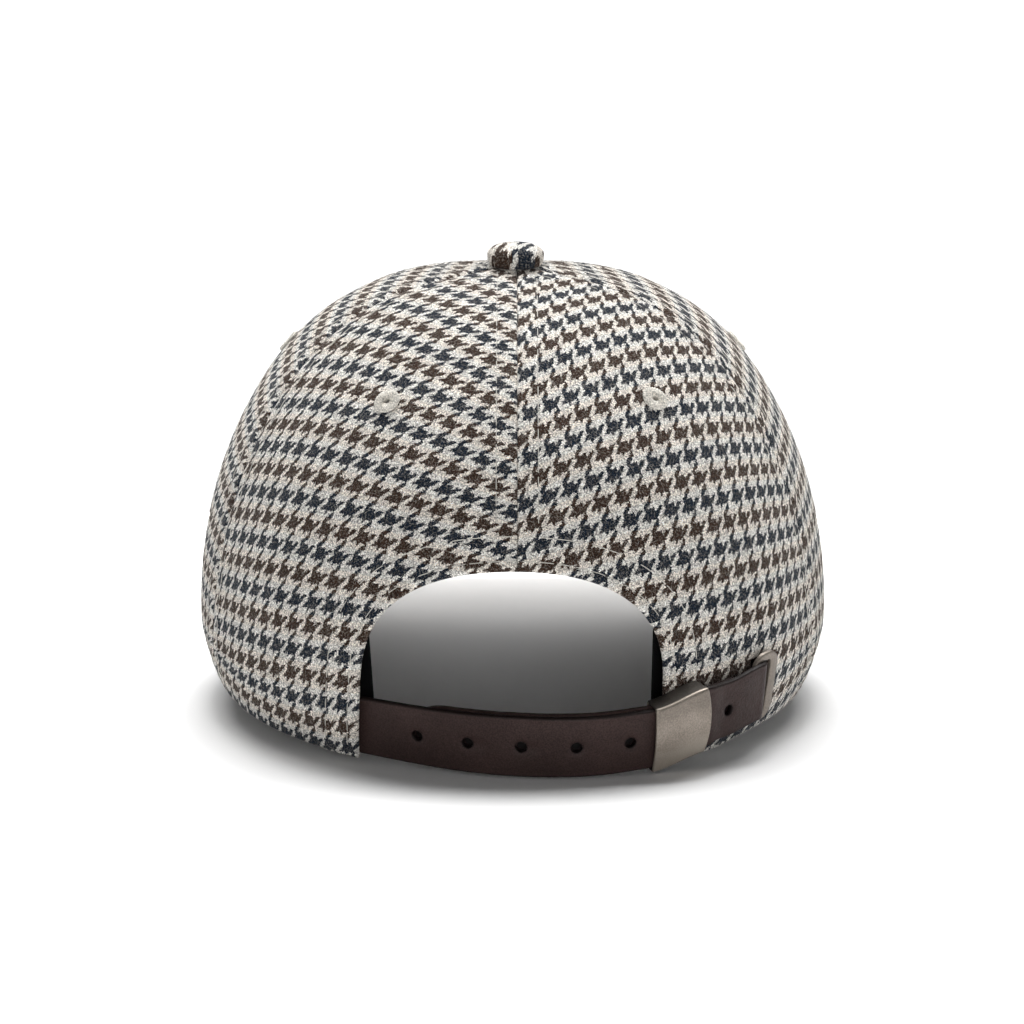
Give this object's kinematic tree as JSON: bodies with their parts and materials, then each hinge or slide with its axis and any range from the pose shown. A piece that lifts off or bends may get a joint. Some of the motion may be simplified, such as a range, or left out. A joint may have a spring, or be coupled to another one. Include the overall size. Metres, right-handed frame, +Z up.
{
  "type": "six-panel baseball cap",
  "caption": "Soft tweed cap with a curved visor, a covered top button and a half-moon back opening closed by a leather strap in a metal sleeve.",
  "frame": {"origin": "centre of the bottom of the cap's box, on the surface that the cap stands on", "axes": "+Z up, -Y towards the visor, +Y towards the back opening, -X towards the wearer's right"},
  "size_m": [0.1782, 0.276, 0.128],
  "materials": {
    "tweed": "brushed wool tweed, cream ground with navy and brown houndstooth checks",
    "thread": "cream embroidery and topstitching thread",
    "band": "dark woven cotton",
    "leather": "smooth dark brown leather with painted edges",
    "metal": "satin antique nickel"
  },
  "bodies": {
    "root": {"panel_back_left": "tweed", "panel_back_right": "tweed", "panel_side_left": "tweed", "panel_side_right": "tweed", "panel_front_left": "tweed", "panel_front_right": "tweed", "visor": "tweed", "top_button": "tweed", "eyelet_back_left": "thread", "eyelet_back_right": "thread", "eyelet_side_left": "thread", "eyelet_side_right": "thread", "eyelet_front_left": "thread", "eyelet_front_right": "thread", "sweatband": "band", "strap": "leather", "strap_underlay": "leather", "buckle_sleeve": "metal", "slot_frame": "metal"}
  },
  "joints": []
}
